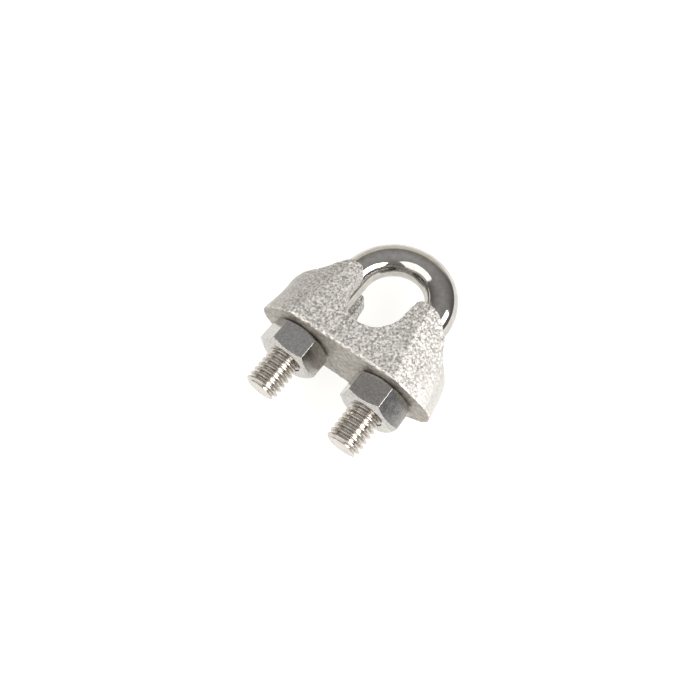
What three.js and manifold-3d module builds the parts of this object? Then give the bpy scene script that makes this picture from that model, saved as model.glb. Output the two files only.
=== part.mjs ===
// Wire rope clip for 8 mm rope, U-bolt pattern, M6 legs.
// Millimetres. The clip lies on the back face of its saddle, on the plane z = 0.
// +X runs across the two legs, +Y along the legs from the nuts towards the bow, +Z up out of the front face.
// Sub-parts are shaped about the middle of the nut bearing face, and one group then sets them on the ground.
import * as THREE from 'three';
import { mergeVertices } from 'three/addons/utils/BufferGeometryUtils.js';
import Module from 'manifold-3d';

const wasm = await Module();
wasm.setup();

// ---- legs and bow of the U-bolt ----
const LEG_SPACING = 16.8;
const LEG_X = LEG_SPACING / 2;
const ROD_RADIUS = 2.95;
const BOW_CENTRE_Y = 15.1;
const LEG_END_Y = -11.7;
const BOW_TOP_Y = BOW_CENTRE_Y + LEG_X + ROD_RADIUS;

// ---- M6 x 1 thread, right-hand ----
const PITCH = 1;
const THREAD_DEPTH = 0.6 * PITCH;
const THREAD_OUTER_RADIUS = 2.96;
const THREAD_ROOT_RADIUS = THREAD_OUTER_RADIUS - THREAD_DEPTH;
const CREST_FLAT = PITCH / 8;
const FLANK_LENGTH = THREAD_DEPTH * Math.tan(Math.PI / 6);
const ROOT_FLAT = PITCH - CREST_FLAT - 2 * FLANK_LENGTH;
const THREAD_TOP_Y = 5.7;
const THREAD_RUN_OUT = 0.9;
const RUN_OUT_INSET = 0.1;
const END_CHAMFER = 0.4;
const THREAD_CLEARANCE_RADIAL = 0.1;
const THREAD_CLEARANCE_AXIAL = 0.06;
const TURN_SEGMENTS = 16;

// ---- hexagon nuts ----
const NUT_HEIGHT = 5.2;
const NUT_ACROSS_FLATS = 10;
const NUT_CORNER_RADIUS = NUT_ACROSS_FLATS / Math.sqrt(3);
const NUT_FACE_RADIUS = 4.5;
const NUT_CHAMFER_SLOPE = Math.tan(Math.PI / 6);
const NUT_COUNTERSINK_RADIUS = 3.3;
const NUT_COUNTERSINK_DEPTH = 0.5;
const NUT_COUNTERSINK_FLARE = 1.6;
const NUT_SEAT_GAP = 0.02;
const NUT_TURN_LEFT = 10.8;
const NUT_TURN_RIGHT = -7.9;

// ---- saddle casting ----
const SADDLE_DEPTH = 14.4;
const SADDLE_END_X = 17.3;
const FACE_HALF_WIDTH = 10.2;
const FACET_ANGLE = 34.2;
const SIDE_DRAFT = 7;
const HORN_TOP_Y = 14.65;
const HORN_LEAN_FROM_Y = 8;
const HORN_TIP_DEPTH = 13.2;
const EDGE_BEVEL = 0.4;
const SHOULDER_POINTS = [
  [17.6, 4.4], [16.1, 7.1], [14.2, 9.7], [12.2, 12], [10.3, 13.8], [9.2, 14.4],
];
const HORN_TIP_POINTS = [[8.2, 14.6], [6.9, 14.65], [6, 14.45], [5.45, 13.8]];
const SEAT_RADIUS = 5.2;
const SEAT_CENTRE_Y = 10.2;
const SEAT_SEGMENTS = 15;
const LEG_HOLE_RADIUS = 3.4;
const LEG_CHANNEL_FLOOR_Y = 6.4;
const LEG_SIDE_WALL_TOP_Y = 10.4;

// ---- fineness of round shapes ----
const ROUND_SEGMENTS = 32;
const BOW_SEGMENTS = 26;
const END_SEGMENTS = 8;

// Corners are rounded to this grid first, so faces that should meet share exactly the same points.
const GRID = 1e-4;
const SMALLEST_EDGE = 2e-3;

// Cutting bodies reach this far past the faces they cut.
const OVERSHOOT = 1;

// Ground position: the middle of the whole length goes to y = 0 and the back face to z = 0.
const GROUND_SHIFT_Y = -(BOW_TOP_Y + LEG_END_Y) / 2;
const GROUND_SHIFT_Z = SADDLE_DEPTH / 2;

// ---- solids ----

function solidOf(geometry) {
  const bare = geometry.clone();
  bare.deleteAttribute('normal');
  bare.deleteAttribute('uv');
  const position = bare.attributes.position;
  for (let i = 0; i < position.array.length; i += 1) {
    position.array[i] = Math.round(position.array[i] / GRID) * GRID;
  }
  const welded = mergeVertices(bare, GRID / 4);
  const mesh = new wasm.Mesh({
    numProp: 3,
    vertProperties: new Float32Array(welded.attributes.position.array),
    triVerts: new Uint32Array(welded.index.array),
  });
  return new wasm.Manifold(mesh);
}

function geometryOf(solid) {
  const mesh = solid.simplify(SMALLEST_EDGE).getMesh();
  const geometry = new THREE.BufferGeometry();
  geometry.setAttribute('position', new THREE.BufferAttribute(mesh.vertProperties, 3));
  geometry.setIndex(new THREE.BufferAttribute(mesh.triVerts, 1));
  geometry.computeVertexNormals();
  return geometry;
}

// A body turned about the Y axis from [radius, y] pairs that start and end on the axis.
function turnedSolid(profile) {
  const points = profile.map(([radius, y]) => new THREE.Vector2(radius, y));
  return solidOf(new THREE.LatheGeometry(points, ROUND_SEGMENTS));
}

function boxSolid(sizeX, sizeY, sizeZ, centreX, centreY, centreZ) {
  const box = new THREE.BoxGeometry(sizeX, sizeY, sizeZ);
  box.translate(centreX, centreY, centreZ);
  return solidOf(box);
}

// ---- thread ----

// One helical body along +Y whose outline is the thread form: root flat, flank, crest flat, flank.
// grow pushes the whole form outwards by a radial and an axial clearance.
function helicalSolid(startY, turns, growRadial, growAxial) {
  const form = [
    [THREAD_ROOT_RADIUS + growRadial, growAxial],
    [THREAD_ROOT_RADIUS + growRadial, ROOT_FLAT - growAxial],
    [THREAD_OUTER_RADIUS + growRadial, ROOT_FLAT + FLANK_LENGTH - growAxial],
    [THREAD_OUTER_RADIUS + growRadial, ROOT_FLAT + FLANK_LENGTH + CREST_FLAT + growAxial],
  ];
  const last = turns * TURN_SEGMENTS;
  const positions = [];
  for (let step = 0; step <= last; step += 1) {
    const angle = (2 * Math.PI * step) / TURN_SEGMENTS;
    const rise = startY + (PITCH * step) / TURN_SEGMENTS;
    for (const [radius, offset] of form) {
      positions.push(radius * Math.sin(angle), rise + offset, radius * Math.cos(angle));
    }
  }
  const vertex = (step, line) => step * form.length + line;
  const lowTip = positions.length / 3;
  positions.push(0, startY - PITCH, 0);
  const highTip = lowTip + 1;
  positions.push(0, startY + (turns + 2) * PITCH, 0);

  const triangles = [];
  const quad = (a, b, c, d) => triangles.push(a, b, c, a, c, d);
  const topLine = form.length - 1;
  for (let step = 0; step < last; step += 1) {
    for (let line = 0; line < topLine; line += 1) {
      quad(vertex(step, line), vertex(step + 1, line), vertex(step + 1, line + 1), vertex(step, line + 1));
    }
    if (step < last - TURN_SEGMENTS) {
      const next = step + TURN_SEGMENTS;
      quad(vertex(step, topLine), vertex(step + 1, topLine), vertex(next + 1, 0), vertex(next, 0));
    }
  }
  for (let step = 0; step < TURN_SEGMENTS; step += 1) {
    triangles.push(lowTip, vertex(step + 1, 0), vertex(step, 0));
    const high = last - TURN_SEGMENTS + step;
    triangles.push(highTip, vertex(high, topLine), vertex(high + 1, topLine));
  }
  for (let line = 0; line < topLine; line += 1) {
    triangles.push(lowTip, vertex(0, line), vertex(0, line + 1));
    triangles.push(highTip, vertex(last, line + 1), vertex(last, line));
  }
  triangles.push(lowTip, vertex(0, topLine), vertex(TURN_SEGMENTS, 0));
  triangles.push(highTip, vertex(last, 0), vertex(last - TURN_SEGMENTS, topLine));

  const geometry = new THREE.BufferGeometry();
  geometry.setAttribute('position', new THREE.Float32BufferAttribute(positions, 3));
  geometry.setIndex(triangles);
  return solidOf(geometry);
}

// The helix starts a whole number of pitches below the leg end, so rod and nut share one phase.
const HELIX_START_Y = LEG_END_Y - 3 * PITCH;

// ---- U-bolt ----

function threadedEnd() {
  const turns = Math.ceil((THREAD_TOP_Y - HELIX_START_Y) / PITCH) + 2;
  const helix = helicalSolid(HELIX_START_Y, turns, 0, 0);
  const blank = turnedSolid([
    [0, LEG_END_Y],
    [THREAD_OUTER_RADIUS - END_CHAMFER, LEG_END_Y],
    [THREAD_OUTER_RADIUS + PITCH, LEG_END_Y + END_CHAMFER + PITCH],
    [THREAD_OUTER_RADIUS + PITCH, THREAD_TOP_Y],
    [0, THREAD_TOP_Y],
  ]);
  return helix.intersect(blank);
}

function plainLeg() {
  return turnedSolid([
    [0, THREAD_TOP_Y - THREAD_RUN_OUT],
    [THREAD_ROOT_RADIUS - RUN_OUT_INSET, THREAD_TOP_Y - THREAD_RUN_OUT],
    [ROD_RADIUS, THREAD_TOP_Y],
    [ROD_RADIUS, BOW_CENTRE_Y],
    [0, BOW_CENTRE_Y],
  ]);
}

class BowArc extends THREE.Curve {
  getPoint(t, target = new THREE.Vector3()) {
    const angle = Math.PI * t;
    return target.set(LEG_X * Math.cos(angle), BOW_CENTRE_Y + LEG_X * Math.sin(angle), 0);
  }

  getTangent(t, target = new THREE.Vector3()) {
    const angle = Math.PI * t;
    return target.set(-Math.sin(angle), Math.cos(angle), 0);
  }
}

function bow() {
  const section = new THREE.Shape();
  section.absarc(0, 0, ROD_RADIUS, 0, 2 * Math.PI, false);
  const swept = new THREE.ExtrudeGeometry(section, {
    steps: BOW_SEGMENTS,
    curveSegments: ROUND_SEGMENTS / 2,
    extrudePath: new BowArc(),
  });
  return solidOf(swept);
}

function uBolt() {
  const leg = threadedEnd().add(plainLeg());
  return bow().add(leg.translate([LEG_X, 0, 0])).add(leg.translate([-LEG_X, 0, 0]));
}

// ---- nuts ----

// The nut is shaped about its own leg axis, with its bearing face just clear of y = 0.
function nut(turnDegrees) {
  const top = -NUT_SEAT_GAP;
  const bottom = top - NUT_HEIGHT;
  const prism = new THREE.CylinderGeometry(NUT_CORNER_RADIUS, NUT_CORNER_RADIUS, NUT_HEIGHT, 6);
  prism.rotateY(Math.PI / 2);
  prism.rotateY(THREE.MathUtils.degToRad(turnDegrees));
  prism.translate(0, (top + bottom) / 2, 0);
  const reach = NUT_CORNER_RADIUS + OVERSHOOT;
  const drop = (reach - NUT_FACE_RADIUS) * NUT_CHAMFER_SLOPE;
  const chamfers = turnedSolid([
    [0, bottom], [NUT_FACE_RADIUS, bottom], [reach, bottom + drop],
    [reach, top - drop], [NUT_FACE_RADIUS, top], [0, top],
  ]);
  const wide = NUT_COUNTERSINK_RADIUS;
  const tapered = wide - NUT_COUNTERSINK_DEPTH * NUT_COUNTERSINK_FLARE;
  const countersinks = turnedSolid([
    [0, bottom - OVERSHOOT], [wide, bottom - OVERSHOOT], [wide, bottom],
    [tapered, bottom + NUT_COUNTERSINK_DEPTH],
    [tapered, top - NUT_COUNTERSINK_DEPTH], [wide, top],
    [wide, top + OVERSHOOT], [0, top + OVERSHOOT],
  ]);
  const turns = Math.ceil(-HELIX_START_Y / PITCH) + 3;
  const tap = helicalSolid(HELIX_START_Y, turns, THREAD_CLEARANCE_RADIAL, THREAD_CLEARANCE_AXIAL);
  return solidOf(prism).intersect(chamfers).subtract(countersinks).subtract(tap);
}

// ---- saddle ----

// Corner points of the plan outline in x and z, moved inwards by inset everywhere but on the faces.
function planOutline(inset) {
  const slope = THREE.MathUtils.degToRad(FACET_ANGLE);
  const normalX = Math.sin(slope);
  const normalZ = Math.cos(slope);
  const faceZ = SADDLE_DEPTH / 2;
  const facetReach = normalX * FACE_HALF_WIDTH + normalZ * faceZ;
  const endCentreX = (SADDLE_END_X - facetReach) / (1 - normalX);
  const endRadius = SADDLE_END_X - endCentreX - inset;
  const cornerX = (facetReach - inset - normalZ * faceZ) / normalX;
  const sweep = Math.PI / 2 - slope;
  const right = [[cornerX, faceZ]];
  for (let step = 0; step <= END_SEGMENTS; step += 1) {
    const angle = sweep - (2 * sweep * step) / END_SEGMENTS;
    right.push([endCentreX + endRadius * Math.cos(angle), endRadius * Math.sin(angle)]);
  }
  right.push([cornerX, -faceZ]);
  return right.concat(right.map(([x, z]) => [-x, -z]));
}

// A convex body between two outlines of the same number of points.
function loftSolid(lowOutline, lowY, highOutline, highY) {
  const count = lowOutline.length;
  const positions = [];
  lowOutline.forEach(([x, z]) => positions.push(x, lowY, z));
  highOutline.forEach(([x, z]) => positions.push(x, highY, z));
  positions.push(0, lowY, 0, 0, highY, 0);
  const triangles = [];
  for (let i = 0; i < count; i += 1) {
    const j = (i + 1) % count;
    triangles.push(i, count + j, count + i, i, j, count + j);
    triangles.push(2 * count, j, i);
    triangles.push(2 * count + 1, count + i, count + j);
  }
  const geometry = new THREE.BufferGeometry();
  geometry.setAttribute('position', new THREE.Float32BufferAttribute(positions, 3));
  geometry.setIndex(triangles);
  return solidOf(geometry);
}

// Front view: shoulders falling away to each side of two horns with the rope seat between them.
function frontProfile() {
  const seat = [];
  for (let step = 0; step <= SEAT_SEGMENTS; step += 1) {
    const angle = -(Math.PI * step) / SEAT_SEGMENTS;
    seat.push([SEAT_RADIUS * Math.cos(angle), SEAT_CENTRE_Y + SEAT_RADIUS * Math.sin(angle)]);
  }
  const rightSide = [[SHOULDER_POINTS[0][0], -OVERSHOOT], ...SHOULDER_POINTS, ...HORN_TIP_POINTS];
  const leftSide = rightSide.map(([x, y]) => [-x, y]).reverse();
  const outline = [...rightSide, ...seat, ...leftSide];
  const shape = new THREE.Shape(outline.map(([x, y]) => new THREE.Vector2(x, y)));
  const depth = SADDLE_DEPTH + 2 * OVERSHOOT;
  const body = new THREE.ExtrudeGeometry(shape, { depth, bevelEnabled: false });
  body.translate(0, 0, -depth / 2);
  return solidOf(body);
}

// Side view: flat front and back walls whose horns lean in a little, with a bevel along the base.
function sideProfile() {
  const half = SADDLE_DEPTH / 2;
  const front = [
    [half - EDGE_BEVEL, 0],
    [half, EDGE_BEVEL],
    [half, HORN_LEAN_FROM_Y],
    [HORN_TIP_DEPTH / 2, HORN_TOP_Y - EDGE_BEVEL],
    [HORN_TIP_DEPTH / 2 - 2 * EDGE_BEVEL, HORN_TOP_Y + EDGE_BEVEL],
  ];
  const back = front.map(([z, y]) => [-z, y]).reverse();
  const shape = new THREE.Shape([...front, ...back].map(([z, y]) => new THREE.Vector2(-z, y)));
  const depth = 2 * (SADDLE_END_X + OVERSHOOT);
  const body = new THREE.ExtrudeGeometry(shape, { depth, bevelEnabled: false });
  body.translate(0, 0, -depth / 2);
  body.rotateY(Math.PI / 2);
  return solidOf(body);
}

// The space for the legs: a round hole down each leg, and a channel between the front and back horns.
// Outside each leg the channel stops at a low wall, so that the shoulder wraps the leg.
function legSpace() {
  const top = HORN_TOP_Y + OVERSHOOT;
  const width = 2 * LEG_HOLE_RADIUS;
  const channelHeight = top - LEG_CHANNEL_FLOOR_Y;
  const channelY = LEG_CHANNEL_FLOOR_Y + channelHeight / 2;
  const sideHeight = top - LEG_SIDE_WALL_TOP_Y;
  const sideY = LEG_SIDE_WALL_TOP_Y + sideHeight / 2;
  const hole = turnedSolid([
    [0, -OVERSHOOT], [LEG_HOLE_RADIUS, -OVERSHOOT], [LEG_HOLE_RADIUS, top], [0, top],
  ]);
  return boxSolid(LEG_SPACING, channelHeight, width, 0, channelY, 0)
    .add(boxSolid(2 * SADDLE_END_X, sideHeight, width, 0, sideY, 0))
    .add(hole.translate([LEG_X, 0, 0]))
    .add(hole.translate([-LEG_X, 0, 0]));
}

function saddle() {
  const rise = HORN_TOP_Y + OVERSHOOT;
  const inset = rise * Math.tan(THREE.MathUtils.degToRad(SIDE_DRAFT));
  const block = loftSolid(planOutline(0), 0, planOutline(inset), rise);
  return block.intersect(frontProfile()).intersect(sideProfile()).subtract(legSpace());
}

// ---- assembly ----

const castSteel = { color: 0xc3bfb6, roughness: 0.62, metalness: 0.85 };
const polishedSteel = { color: 0xd2d0cb, roughness: 0.16, metalness: 1 };
const brightSteel = { color: 0xc9c7c3, roughness: 0.26, metalness: 1 };

function part(name, solid, finish, x = 0) {
  const mesh = new THREE.Mesh(geometryOf(solid), new THREE.MeshStandardMaterial(finish));
  mesh.name = name;
  mesh.position.x = x;
  return mesh;
}

const clip = new THREE.Group();
clip.name = 'wire_rope_clip';
clip.position.set(0, GROUND_SHIFT_Y, GROUND_SHIFT_Z);
clip.add(part('saddle', saddle(), castSteel));
clip.add(part('u_bolt', uBolt(), polishedSteel));
clip.add(part('nut_left', nut(NUT_TURN_LEFT), brightSteel, -LEG_X));
clip.add(part('nut_right', nut(NUT_TURN_RIGHT), brightSteel, LEG_X));

const root = new THREE.Group();
root.add(clip);

export default root;
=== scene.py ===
# Looks of the wire rope clip: sand-cast saddle, polished U-bolt and two machined nuts, on a pale floor.
# Lengths are millimetres about the clip's own origin, the middle of the nut bearing face, with +Y
# towards the bow. place() turns them into metres in the row frame. The saddle's box, ORIGIN and its
# parts, the sizes of the lamps and the constants that end in _M are metres.
import math

import bmesh
import bpy
import numpy as np
from mathutils import Matrix, Vector


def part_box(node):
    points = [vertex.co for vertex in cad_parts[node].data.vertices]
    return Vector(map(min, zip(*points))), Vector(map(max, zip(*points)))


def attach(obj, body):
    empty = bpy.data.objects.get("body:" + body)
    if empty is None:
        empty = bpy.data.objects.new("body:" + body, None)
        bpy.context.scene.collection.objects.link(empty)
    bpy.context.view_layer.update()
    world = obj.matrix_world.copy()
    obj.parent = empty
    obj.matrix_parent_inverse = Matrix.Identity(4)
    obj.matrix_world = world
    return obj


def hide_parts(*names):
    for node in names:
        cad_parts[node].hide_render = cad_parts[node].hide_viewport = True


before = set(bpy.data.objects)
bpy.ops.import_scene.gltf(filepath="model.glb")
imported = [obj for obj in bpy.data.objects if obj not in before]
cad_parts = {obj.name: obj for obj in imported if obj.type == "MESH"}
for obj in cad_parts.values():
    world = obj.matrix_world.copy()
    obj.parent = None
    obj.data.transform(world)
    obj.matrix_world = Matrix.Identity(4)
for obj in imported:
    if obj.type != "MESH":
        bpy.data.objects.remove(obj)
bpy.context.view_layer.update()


MM = 0.001
SADDLE_LOW, SADDLE_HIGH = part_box("saddle")
BEARING_Y = SADDLE_LOW.y
MID_Z = (SADDLE_LOW.z + SADDLE_HIGH.z) / 2
ORIGIN = np.array([0, BEARING_Y, MID_Z])

# ---- U-bolt ----
LEG_X = 8.4
ROD_RADIUS = 2.95
BOW_CENTRE_Y = 15.1
LEG_END_Y = -11.7
PITCH = 1.0
THREAD_DEPTH = 0.6
THREAD_OUTER_RADIUS = 2.96
THREAD_ROOT_RADIUS = THREAD_OUTER_RADIUS - THREAD_DEPTH
FLANK_LENGTH = THREAD_DEPTH * math.tan(math.pi / 6)
CREST_FLAT = PITCH / 8
ROOT_FLAT = PITCH - CREST_FLAT - 2 * FLANK_LENGTH
THREAD_SOFTNESS = 0.5
THREAD_TOP_Y = 5.7
THREAD_RUN_OUT = 0.9
END_CHAMFER = 0.4
END_ROUNDING = END_CHAMFER / 3
HELIX_START_Y = LEG_END_Y - 3 * PITCH
CLEARANCE_RADIAL = 0.1
CLEARANCE_AXIAL = 0.06
ROD_COLUMNS = 96
THREAD_STEP = 0.03
PLAIN_STEP = 0.4
BOW_ROWS = 160
CAP_ROWS = 6

# ---- nuts ----
NUT_HEIGHT = 5.2
NUT_FLAT_RADIUS = 5.0
NUT_FACE_RADIUS = 4.5
NUT_CHAMFER_SLOPE = math.tan(math.pi / 6)
COUNTERSINK_RADIUS = 3.3
COUNTERSINK_FLARE = 1.6
NUT_SEAT_GAP = 0.02
NUT_EDGE_ROUNDING = 0.1
NUT_CORNER_SHARPNESS = 160
NUT_CORNER_LEFT = 40.8
NUT_CORNER_RIGHT = 22.1
NUT_COLUMNS_A_SIDE = 40
NUT_COLUMN_CROWDING = 0.85
NUT_ROW_STEP = 0.05
NUT_FACE_ROWS = 6

# ---- saddle casting ----
VOXEL = 0.11
EASE_FACTOR = 0.5
EASE_ROUNDS = 8
# Each noise has its own cell size and its own seed.
GRAIN_HEIGHT = 0.10
GRAIN_CELL, GRAIN_SEED = 0.32, 11
COARSE_CELL, COARSE_SEED = 0.5, 12
COARSE_SHARE = 0.7
WRINKLE_HEIGHT = 0.054
WRINKLE_CELL, WRINKLE_SEED = 1.5, 13
WRINKLE_STRETCH = np.array([1.0, 0.75, 1.0])
WAVE_HEIGHT = 0.10
WAVE_CELL, WAVE_SEED = 4.2, 14
SKIN_SINK = 0.03
# The front and back faces are rough, and the sides, ends and base much less so.
ROUGH_FACING_FROM, ROUGH_FACING_RANGE = 0.3, 0.3
CALM_GRAIN_SHARE = 0.18
CALM_WAVE_SHARE = 0.3
CALM_X_FROM, CALM_X_RANGE = 12.5, 2.5
CALM_X_DEPTH = 0.75
# The walls of the leg holes keep little relief, so that the rod slides clear of them.
BORE_MARGIN = 0.65
BORE_FROM_Y = 0.1
BORE_RELIEF_SHARE = 0.15
SHOULDER_FALL_RIGHT = 0.8
SHOULDER_SWELL_LEFT = 0.75
SHOULDER_Y = 9.5
SHOULDER_SPREAD = 3.4
SHOULDER_X_FROM, SHOULDER_X_RANGE = 11.9, 2.5
# Faces turned this far towards -Y make up the bearing face, whose darker colour is painted shade.
BASE_FACING = 0.75
# The lip along the bearing face's upper edge is worn, and its brighter colour is also a painted highlight.
LIP_HEIGHT = 0.42
LIP_FACING = 0.3
BASE_SLOT, LIP_SLOT = 1, 2
THREAD_SLOT = 1

# ---- materials ----
TINT_STOPS = (0.35, 0.65)
SMEAR_STOPS = (0.3, 0.7)
SMEAR_SCALE = 0.4
FINE_SCALE = 2.2
FINE_DETAIL = 4.0
CAST_BUMP = 0.8
END_CALM_FROM = 11.5
END_CALM_TO = 15.5
END_CALM_SHARE = 0.8
END_COLOR = (0.60, 0.59, 0.565, 1)
# Sockets of the mix node for colours, which share their names with its other sockets.
MIX_FACTOR, MIX_COLOR_A, MIX_COLOR_B, MIX_COLOR_OUT = 0, 6, 7, 2

# ---- studio ----
FLOOR_SIZE_M = 3
FLOOR_DROP = 0.02
FLOOR_ROUGHNESS = 0.9
FLOOR_STRENGTH = 0.86
FLOOR_FADE_FROM_M, FLOOR_FADE_TO_M = 0.09, 0.14
FLOOR_GLOW_NEAR, FLOOR_GLOW_FAR = (1.0, 0.985, 0.955), (0.07, 0.08, 0.10)
FLOOR_PAINT_NEAR, FLOOR_PAINT_FAR = (0.30, 0.295, 0.29), (0.02, 0.02, 0.025)
LAMP_DISTANCE_M = 0.5
LAMP_COLOR = (1.0, 0.985, 0.96)
WORLD_STRENGTH = 1.0
SKY_STOPS = (
    (0.0, (0.13, 0.12, 0.12)),
    (0.35, (0.20, 0.195, 0.195)),
    (0.8, (0.36, 0.345, 0.335)),
    (1.0, (0.46, 0.455, 0.46)),
)
WALL_DIRECTION = (-0.55, 0.80, -0.25)
WALL_STOPS = (
    (0.0, (0.0, 0.0, 0.0)),
    (0.62, (0.0, 0.0, 0.0)),
    (0.74, (0.66, 0.62, 0.53)),
    (1.0, (0.80, 0.76, 0.66)),
)
LENS = 30.857
SENSOR_WIDTH = 36
CAMERA_AZIMUTH, CAMERA_ELEVATION, CAMERA_ROLL = (math.radians(angle) for angle in (40.7, 63.9, -4.9))
CAMERA_DISTANCE = 102.288
CAMERA_SLIDE_RIGHT, CAMERA_SLIDE_UP = 1.252, 0.887
CAMERA_CENTRE = (0, -3.087, 7.2)
CAMERA_CLIP_START = 1


# ---- meshes ----

def mesh_object(name, points, faces):
    """A smooth closed mesh with outward normals, from points in metres in the row frame."""
    mesh = bpy.data.meshes.new(name)
    mesh.from_pydata(points.tolist(), [], faces)
    shaped = bmesh.new()
    shaped.from_mesh(mesh)
    bmesh.ops.recalc_face_normals(shaped, faces=shaped.faces)
    shaped.to_mesh(mesh)
    shaped.free()
    mesh.shade_smooth()
    made = bpy.data.objects.new(name, mesh)
    bpy.context.scene.collection.objects.link(made)
    return made


def place(x, y, z):
    """Clip millimetres to row-frame metres."""
    return np.stack([x * MM, y * MM + BEARING_Y, z * MM + MID_Z], axis=-1)


def leg_ring(leg_x, side, turn, radius, y):
    """A ring of points round a leg axis; side is -1 where the ring runs the other way round."""
    across, deep = side * radius * np.sin(turn), radius * np.cos(turn)
    return place(leg_x + across, np.full_like(turn, y), deep)


def ring_faces(rows, columns, wrap):
    """Quads between neighbouring rows of points, with the last row joined to the first if wrap."""
    faces = []
    for row in range(rows if wrap else rows - 1):
        here, above = row * columns, ((row + 1) % rows) * columns
        for column in range(columns):
            beside = (column + 1) % columns
            faces.append((here + column, here + beside, above + beside, above + column))
    return faces


def smooth_step(value):
    value = np.clip(value, 0, 1)
    return value * value * (3 - 2 * value)


def soft_min(a, b, rounding):
    blend = np.clip(0.5 + 0.5 * (b - a) / rounding, 0, 1)
    return b + (a - b) * blend - rounding * blend * (1 - blend)


# ---- thread ----

def thread_height(y, angle, axial):
    """0 in the thread root and 1 on its crest, for a form widened by axial on both flanks."""
    along = np.mod((y - HELIX_START_Y) / PITCH - angle / (2 * math.pi), 1) * PITCH
    rise = (along - ROOT_FLAT + axial) / FLANK_LENGTH
    fall = (PITCH + axial - along) / FLANK_LENGTH
    height = np.maximum(np.minimum(rise, fall), (axial - along) / FLANK_LENGTH)
    straight, round_off = np.clip(height, 0, 1), smooth_step(height)
    return smooth_step(THREAD_SOFTNESS * round_off + (1 - THREAD_SOFTNESS) * straight)


def leg_radius(y, angle):
    """Surface radius of a leg: end chamfer, thread, run-out and plain rod."""
    radius = THREAD_ROOT_RADIUS + THREAD_DEPTH * thread_height(y, angle, 0)
    fade = smooth_step((y - THREAD_TOP_Y + THREAD_RUN_OUT) / THREAD_RUN_OUT)
    radius = np.maximum(radius, THREAD_ROOT_RADIUS + (ROD_RADIUS - THREAD_ROOT_RADIUS) * fade)
    radius = np.where(y >= THREAD_TOP_Y, ROD_RADIUS, radius)
    chamfer = THREAD_OUTER_RADIUS - END_CHAMFER + (y - LEG_END_Y)
    return soft_min(radius, chamfer, END_ROUNDING)


# ---- U-bolt ----

def leg_rows(side, turn):
    """Rings of one leg, from the middle of its end face up to the bow."""
    end = leg_radius(LEG_END_Y, side * turn)
    shares = np.arange(1, CAP_ROWS) / CAP_ROWS
    rows = [leg_ring(side * LEG_X, side, turn, share * end, LEG_END_Y) for share in shares]
    thread_levels = np.arange(LEG_END_Y, THREAD_TOP_Y, THREAD_STEP)
    plain_levels = np.arange(THREAD_TOP_Y, BOW_CENTRE_Y, PLAIN_STEP)
    for y in np.concatenate([thread_levels, plain_levels]):
        rows.append(leg_ring(side * LEG_X, side, turn, leg_radius(y, side * turn), y))
    return rows


def bow_rows(turn):
    """Rings of the half circle, from the left leg over to the right one."""
    reach, deep = LEG_X + ROD_RADIUS * np.sin(turn), ROD_RADIUS * np.cos(turn)
    rows = []
    for angle in np.linspace(math.pi, 0, BOW_ROWS):
        rows.append(place(reach * math.cos(angle), BOW_CENTRE_Y + reach * math.sin(angle), deep))
    return rows


def build_u_bolt():
    turn = np.arange(ROD_COLUMNS) * 2 * math.pi / ROD_COLUMNS
    rows = leg_rows(-1, turn) + bow_rows(turn) + leg_rows(1, turn)[::-1]
    points = np.concatenate(rows)
    faces = ring_faces(len(rows), ROD_COLUMNS, False)
    tips = place(np.array([-LEG_X, LEG_X]), np.full(2, LEG_END_Y), np.zeros(2))
    left_tip, last_row = len(points), len(points) - ROD_COLUMNS
    for column in range(ROD_COLUMNS):
        beside = (column + 1) % ROD_COLUMNS
        faces.append((left_tip, column, beside))
        faces.append((left_tip + 1, last_row + beside, last_row + column))
    return mesh_object("u_bolt_looks", np.concatenate([points, tips]), faces)


# ---- nuts ----

def hexagon_radius(angle, corner):
    """Distance to the hexagon's side at each angle, with slightly rounded corners."""
    total = np.zeros_like(angle)
    for side in range(6):
        facing = np.cos(angle - corner - math.pi / 6 - side * math.pi / 3)
        total += np.maximum(facing, 0) ** NUT_CORNER_SHARPNESS
    return NUT_FLAT_RADIUS / total ** (1 / NUT_CORNER_SHARPNESS)


def nut_columns(corner):
    """Angles around the nut, crowded towards the corners."""
    share = np.arange(NUT_COLUMNS_A_SIDE) / NUT_COLUMNS_A_SIDE
    eased = share - NUT_COLUMN_CROWDING * np.sin(2 * math.pi * share) / (2 * math.pi)
    return np.concatenate([corner + (side + eased) * math.pi / 3 for side in range(6)])


def bore_radius(y, angle, depth):
    """Surface radius of the tapped hole, depth below the nearer face of the nut."""
    thread = THREAD_DEPTH * thread_height(y, angle, CLEARANCE_AXIAL)
    countersink = COUNTERSINK_RADIUS - depth * COUNTERSINK_FLARE
    return np.maximum(THREAD_ROOT_RADIUS + CLEARANCE_RADIAL + thread, countersink)


def build_nut(name, leg_x, corner_degrees):
    """Rings go up the outside, in over the top face, down the bore and out over the bottom face."""
    corner = math.radians(corner_degrees)
    angle = nut_columns(corner)
    sides = hexagon_radius(angle, corner)
    top = -NUT_SEAT_GAP
    bottom = top - NUT_HEIGHT
    levels = np.linspace(bottom, top, int(NUT_HEIGHT / NUT_ROW_STEP) + 1)
    outside, inside = [], []
    for y in levels:
        depth = min(y - bottom, top - y)
        chamfer = NUT_FACE_RADIUS + depth / NUT_CHAMFER_SLOPE
        outside.append(leg_ring(leg_x, 1, angle, soft_min(sides, chamfer, NUT_EDGE_ROUNDING), y))
        inside.append(leg_ring(leg_x, 1, angle, bore_radius(y, angle, depth), y))
    face = np.linspace(NUT_FACE_RADIUS - NUT_EDGE_ROUNDING, COUNTERSINK_RADIUS, NUT_FACE_ROWS)[:-1]
    over_top = [leg_ring(leg_x, 1, angle, radius, top) for radius in face]
    over_bottom = [leg_ring(leg_x, 1, angle, radius, bottom) for radius in face[::-1]]
    rows = outside + over_top + inside[::-1] + over_bottom
    return mesh_object(name, np.concatenate(rows), ring_faces(len(rows), len(angle), True))


# ---- saddle ----

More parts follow.
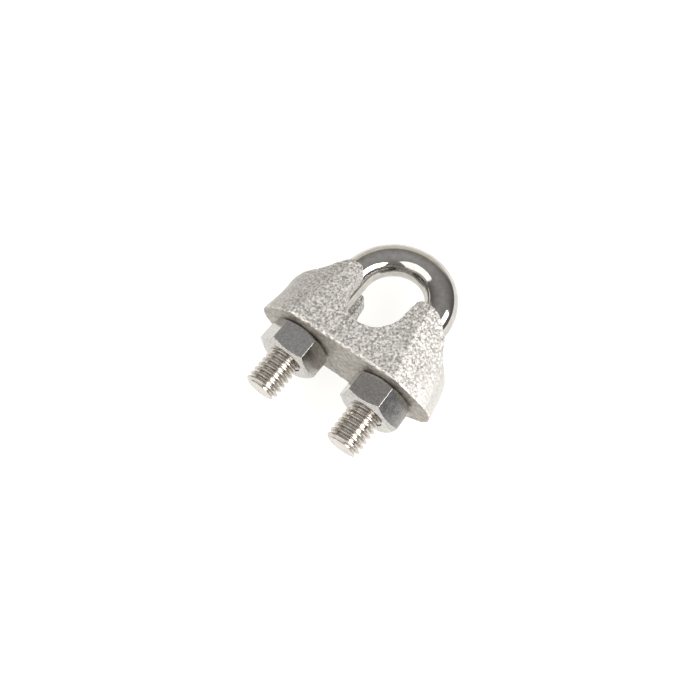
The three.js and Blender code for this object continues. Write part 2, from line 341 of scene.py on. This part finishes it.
def lattice_noise(points, cell, seed):
    """Smooth noise from -1 to 1, from a lattice of fixed random values cell millimetres apart."""
    scaled = points / cell
    low = np.floor(scaled.min(axis=0)).astype(int)
    base = np.floor(scaled).astype(int)
    part = smooth_step(scaled - base)
    base = base - low
    values = np.random.default_rng(seed).uniform(-1, 1, tuple(base.max(axis=0) + 2))
    total = np.zeros(len(points))
    for dx in (0, 1):
        for dy in (0, 1):
            for dz in (0, 1):
                weight = np.abs(1 - dx - part[:, 0]) * np.abs(1 - dy - part[:, 1])
                weight = weight * np.abs(1 - dz - part[:, 2])
                total += weight * values[base[:, 0] + dx, base[:, 1] + dy, base[:, 2] + dz]
    return total


def fine_copy(node, name):
    """An evenly meshed copy of a CAD node with its edges eased."""
    made = bpy.data.objects.new(name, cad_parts[node].data.copy())
    bpy.context.scene.collection.objects.link(made)
    remesh = made.modifiers.new("even", "REMESH")
    remesh.mode = "VOXEL"
    remesh.voxel_size = VOXEL * MM
    ease = made.modifiers.new("ease", "SMOOTH")
    ease.factor = EASE_FACTOR
    ease.iterations = EASE_ROUNDS
    bpy.context.view_layer.update()
    seen = made.evaluated_get(bpy.context.evaluated_depsgraph_get())
    fine = bpy.data.meshes.new_from_object(seen)
    made.modifiers.clear()
    made.data = fine
    return made


def shape_shoulders(points):
    """The casting is not quite even: the right shoulder falls in a little and the left one swells."""
    strength = np.exp(-((points[:, 1] - SHOULDER_Y) / SHOULDER_SPREAD) ** 2)
    outside = smooth_step((np.abs(points[:, 0]) - SHOULDER_X_FROM) / SHOULDER_X_RANGE)
    shift = np.where(points[:, 0] > 0, SHOULDER_FALL_RIGHT, SHOULDER_SWELL_LEFT)
    points[:, 0] -= shift * strength * outside


def casting_relief(points, normals):
    """Height of the sand-cast skin: sand grain, wrinkles, and long waves, calm on the ends and the base."""
    facing = np.abs(normals[:, 2])
    rough = smooth_step((facing - ROUGH_FACING_FROM) / ROUGH_FACING_RANGE)
    rough *= 1 - CALM_X_DEPTH * smooth_step((np.abs(points[:, 0]) - CALM_X_FROM) / CALM_X_RANGE)
    grain = lattice_noise(points, GRAIN_CELL, GRAIN_SEED)
    grain = grain + COARSE_SHARE * lattice_noise(points, COARSE_CELL, COARSE_SEED)
    wrinkle = 1 - 2 * np.abs(lattice_noise(points * WRINKLE_STRETCH, WRINKLE_CELL, WRINKLE_SEED))
    wave = lattice_noise(points, WAVE_CELL, WAVE_SEED)
    height = GRAIN_HEIGHT * grain * (CALM_GRAIN_SHARE + (1 - CALM_GRAIN_SHARE) * rough)
    height += WRINKLE_HEIGHT * wrinkle * rough
    return height + WAVE_HEIGHT * wave * (CALM_WAVE_SHARE + (1 - CALM_WAVE_SHARE) * rough)


def build_saddle():
    made = fine_copy("saddle", "saddle_looks")
    mesh = made.data
    count = len(mesh.vertices)
    points, normals = np.empty(count * 3), np.empty(count * 3)
    mesh.vertices.foreach_get("co", points)
    mesh.vertices.foreach_get("normal", normals)
    points, normals = points.reshape(-1, 3), normals.reshape(-1, 3)
    clip = (points - ORIGIN) / MM
    relief = casting_relief(clip, normals) - SKIN_SINK
    in_bore = np.hypot(np.abs(clip[:, 0]) - LEG_X, clip[:, 2]) < ROD_RADIUS + BORE_MARGIN
    relief[in_bore & (clip[:, 1] > BORE_FROM_Y)] *= BORE_RELIEF_SHARE
    clip = clip + normals * relief[:, None]
    shape_shoulders(clip)
    points = np.clip(clip * MM + ORIGIN, np.array(SADDLE_LOW), np.array(SADDLE_HIGH))
    mesh.vertices.foreach_set("co", points.ravel())
    mesh.update()
    mesh.shade_smooth()
    return made


# ---- materials ----

def node_of(tree, kind, **sockets):
    """A new shader node with constants on its sockets; an underscore stands for a space in a name."""
    made = tree.nodes.new(kind)
    for name, value in sockets.items():
        made.inputs[name.replace("_", " ")].default_value = value
    return made


def operation_of(tree, kind, operation):
    made = tree.nodes.new(kind)
    made.operation = operation
    return made


def axis_of(tree, space, axis):
    """One coordinate of the surface point or the ray, in the given space."""
    coordinates = tree.nodes.new("ShaderNodeTexCoord")
    split = tree.nodes.new("ShaderNodeSeparateXYZ")
    tree.links.new(coordinates.outputs[space], split.inputs["Vector"])
    return split.outputs[axis]


def noise_of(tree, scale, detail=3.0):
    coordinates = tree.nodes.new("ShaderNodeTexCoord")
    noise = node_of(tree, "ShaderNodeTexNoise", Scale=scale, Detail=detail)
    tree.links.new(coordinates.outputs["Object"], noise.inputs["Vector"])
    return noise.outputs["Fac"]


def ramp_of(tree, source, stops):
    """The colour output of a ramp over two or more (position, colour) stops."""
    ramp = tree.nodes.new("ShaderNodeValToRGB")
    elements = ramp.color_ramp.elements
    elements[0].position, elements[0].color = stops[0][0], (*stops[0][1], 1)
    elements[1].position, elements[1].color = stops[-1][0], (*stops[-1][1], 1)
    for position, color in stops[1:-1]:
        elements.new(position).color = (*color, 1)
    tree.links.new(source, ramp.inputs["Fac"])
    return ramp.outputs["Color"]


def metal(name, dark, light, roughness, grain, bump, metallic=1.0):
    """A metal whose colour, roughness and fine relief all vary a little over the surface.

    roughness is its lowest and highest value, and bump is a strength and a depth in millimetres.
    """
    material = bpy.data.materials.new(name)
    material.use_nodes = True
    tree = material.node_tree
    shader = tree.nodes["Principled BSDF"]
    shader.inputs["Metallic"].default_value = metallic
    tint = ramp_of(tree, noise_of(tree, grain), list(zip(TINT_STOPS, (dark, light))))
    tree.links.new(tint, shader.inputs["Base Color"])
    grays = [(value,) * 3 for value in roughness]
    smear = ramp_of(tree, noise_of(tree, grain * SMEAR_SCALE), list(zip(SMEAR_STOPS, grays)))
    tree.links.new(smear, shader.inputs["Roughness"])
    relief = node_of(tree, "ShaderNodeBump", Strength=bump[0], Distance=bump[1] * MM)
    tree.links.new(noise_of(tree, grain * FINE_SCALE, FINE_DETAIL), relief.inputs["Height"])
    tree.links.new(relief.outputs["Normal"], shader.inputs["Normal"])
    return material


def calm_ends(material):
    """The rounded ends of the casting are smoother and more even in colour than its faces."""
    tree = material.node_tree
    shader = tree.nodes["Principled BSDF"]
    reach = operation_of(tree, "ShaderNodeMath", "ABSOLUTE")
    tree.links.new(axis_of(tree, "Object", "X"), reach.inputs[0])
    limits = {"From_Min": END_CALM_FROM * MM, "From_Max": END_CALM_TO * MM, "To_Max": END_CALM_SHARE}
    calm = node_of(tree, "ShaderNodeMapRange", **limits)
    tree.links.new(reach.outputs[0], calm.inputs["Value"])
    mix = tree.nodes.new("ShaderNodeMix")
    mix.data_type = "RGBA"
    mix.inputs[MIX_COLOR_B].default_value = END_COLOR
    tree.links.new(calm.outputs["Result"], mix.inputs[MIX_FACTOR])
    tree.links.new(shader.inputs["Base Color"].links[0].from_socket, mix.inputs[MIX_COLOR_A])
    tree.links.new(mix.outputs[MIX_COLOR_OUT], shader.inputs["Base Color"])
    # The bump's strength falls from CAST_BUMP as the calm share rises.
    keep = operation_of(tree, "ShaderNodeMath", "MULTIPLY_ADD")
    keep.inputs[1].default_value = -CAST_BUMP
    keep.inputs[2].default_value = CAST_BUMP
    tree.links.new(calm.outputs["Result"], keep.inputs[0])
    relief = shader.inputs["Normal"].links[0].from_node
    tree.links.new(keep.outputs[0], relief.inputs["Strength"])


cast_skin = metal(
    "cast_skin", dark=(0.25, 0.242, 0.232), light=(0.82, 0.80, 0.77),
    roughness=(0.38, 0.55), grain=2600, bump=(CAST_BUMP, 0.07), metallic=0.35)
calm_ends(cast_skin)
# The bearing face's darker colour is painted shade.
base_painted_shade = metal(
    "cast_base_painted_shade", dark=(0.27, 0.25, 0.22), light=(0.50, 0.47, 0.425),
    roughness=(0.35, 0.5), grain=1600, bump=(0.3, 0.04), metallic=0.45)
# The lip is worn smoother, and its brighter colour is also a painted highlight.
worn_edge_and_highlight = metal(
    "worn_edge_and_highlight", dark=(0.50, 0.47, 0.43), light=(0.88, 0.86, 0.82),
    roughness=(0.28, 0.42), grain=1400, bump=(0.3, 0.03), metallic=0.6)
polished = metal(
    "polished_rod", dark=(0.50, 0.485, 0.46), light=(0.60, 0.585, 0.56),
    roughness=(0.05, 0.12), grain=900, bump=(0.05, 0.01))
threaded = metal(
    "threaded_rod", dark=(0.52, 0.485, 0.44), light=(0.64, 0.615, 0.58),
    roughness=(0.20, 0.32), grain=1500, bump=(0.10, 0.02))
machined = metal(
    "machined_nut", dark=(0.42, 0.41, 0.395), light=(0.60, 0.59, 0.57),
    roughness=(0.10, 0.20), grain=3000, bump=(0.16, 0.012))


# ---- pieces ----

def dress(piece, material, body):
    """Materials and body of a piece. Each body has one CAD node, which has the body's name."""
    piece.data.materials.clear()
    piece.data.materials.append(material)
    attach(piece, body)
    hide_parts(body)


def dress_threads(piece):
    """The threaded ends of the U-bolt are duller than its polished bow."""
    piece.data.materials.append(threaded)
    for face in piece.data.polygons:
        if face.center.y < BEARING_Y + THREAD_TOP_Y * MM:
            face.material_index = THREAD_SLOT


def dress_base_shade_and_lip(piece):
    """Painted shade darkens the bearing face; the lip along its edges is worn and has a painted highlight.
    """
    piece.data.materials.append(base_painted_shade)
    piece.data.materials.append(worn_edge_and_highlight)
    for face in piece.data.polygons:
        height = (face.center.y - BEARING_Y) / MM
        if face.normal.y < -BASE_FACING:
            face.material_index = BASE_SLOT
        elif height < LIP_HEIGHT and face.normal.z > LIP_FACING:
            face.material_index = LIP_SLOT


saddle = build_saddle()
dress(saddle, cast_skin, "saddle")
dress_base_shade_and_lip(saddle)
u_bolt = build_u_bolt()
dress(u_bolt, polished, "u_bolt")
dress_threads(u_bolt)
dress(build_nut("nut_left_looks", -LEG_X, NUT_CORNER_LEFT), machined, "nut_left")
dress(build_nut("nut_right_looks", LEG_X, NUT_CORNER_RIGHT), machined, "nut_right")


# ---- studio ----

def build_floor():
    """A pale sheet that glows almost to white near the clip, and turns dark far out on its +X side."""
    bpy.ops.mesh.primitive_plane_add(size=FLOOR_SIZE_M, location=(0, 0, -FLOOR_DROP * MM))
    floor = bpy.context.object
    floor.name = "floor"
    material = bpy.data.materials.new("floor_sheet")
    material.use_nodes = True
    tree = material.node_tree
    shader = tree.nodes["Principled BSDF"]
    shader.inputs["Roughness"].default_value = FLOOR_ROUGHNESS
    shader.inputs["Emission Strength"].default_value = FLOOR_STRENGTH
    across = axis_of(tree, "Object", "X")
    for socket, near, far in (("Emission Color", FLOOR_GLOW_NEAR, FLOOR_GLOW_FAR),
                              ("Base Color", FLOOR_PAINT_NEAR, FLOOR_PAINT_FAR)):
        fade = ramp_of(tree, across, [(FLOOR_FADE_FROM_M, near), (FLOOR_FADE_TO_M, far)])
        tree.links.new(fade, shader.inputs[socket])
    floor.data.materials.append(material)


def area_light(name, direction, size, power):
    """A rectangular lamp that looks at the clip from a direction."""
    light = bpy.data.lights.new(name, "AREA")
    light.shape = "RECTANGLE"
    light.size, light.size_y = size
    light.energy = power
    light.color = LAMP_COLOR
    lamp = bpy.data.objects.new(name, light)
    away = Vector(direction).normalized()
    lamp.location = away * LAMP_DISTANCE_M
    lamp.rotation_euler = away.to_track_quat("Z", "Y").to_euler()
    bpy.context.scene.collection.objects.link(lamp)


def build_world():
    """A grey room that is lighter overhead, with one bright wall for the rod to mirror."""
    world = bpy.data.worlds.new("studio")
    bpy.context.scene.world = world
    world.use_nodes = True
    tree = world.node_tree
    back = tree.nodes["Background"]
    back.inputs["Strength"].default_value = WORLD_STRENGTH
    sky = ramp_of(tree, axis_of(tree, "Generated", "Z"), SKY_STOPS)
    coordinates = tree.nodes.new("ShaderNodeTexCoord")
    toward_wall = operation_of(tree, "ShaderNodeVectorMath", "DOT_PRODUCT")
    toward_wall.inputs[1].default_value = Vector(WALL_DIRECTION).normalized()
    tree.links.new(coordinates.outputs["Generated"], toward_wall.inputs[0])
    wall = ramp_of(tree, toward_wall.outputs["Value"], WALL_STOPS)
    both = operation_of(tree, "ShaderNodeVectorMath", "ADD")
    tree.links.new(sky, both.inputs[0])
    tree.links.new(wall, both.inputs[1])
    tree.links.new(both.outputs["Vector"], back.inputs["Color"])


def camera_axes():
    """Right, up and back of the camera, which looks along -back."""
    level = math.cos(CAMERA_ELEVATION)
    back = Vector((math.sin(CAMERA_AZIMUTH) * level, -math.cos(CAMERA_AZIMUTH) * level,
                   math.sin(CAMERA_ELEVATION)))
    flat_right = Vector((0, 0, 1)).cross(back).normalized()
    flat_up = back.cross(flat_right)
    right = math.cos(CAMERA_ROLL) * flat_right + math.sin(CAMERA_ROLL) * flat_up
    up = -math.sin(CAMERA_ROLL) * flat_right + math.cos(CAMERA_ROLL) * flat_up
    return right, up, back


def build_camera():
    camera = bpy.data.cameras.new("camera")
    camera.lens = LENS
    camera.sensor_width = SENSOR_WIDTH
    camera.clip_start = CAMERA_CLIP_START * MM
    view = bpy.data.objects.new("camera", camera)
    bpy.context.scene.collection.objects.link(view)
    right, up, back = camera_axes()
    spot = back * CAMERA_DISTANCE - right * CAMERA_SLIDE_RIGHT - up * CAMERA_SLIDE_UP
    turn = Matrix((right, up, back)).transposed().to_4x4()
    turn.translation = (spot + Vector(CAMERA_CENTRE)) * MM
    view.matrix_world = turn
    bpy.context.scene.camera = view


build_floor()
build_world()
area_light("side_box", direction=(0.75, 0.10, 0.58), size=(0.66, 0.24), power=3.1)
area_light("front_box", direction=(-0.38, -0.68, 0.64), size=(0.62, 0.42), power=1.4)
build_camera()
scene = bpy.context.scene
scene.view_settings.view_transform = "Standard"
scene.view_settings.look = "None"
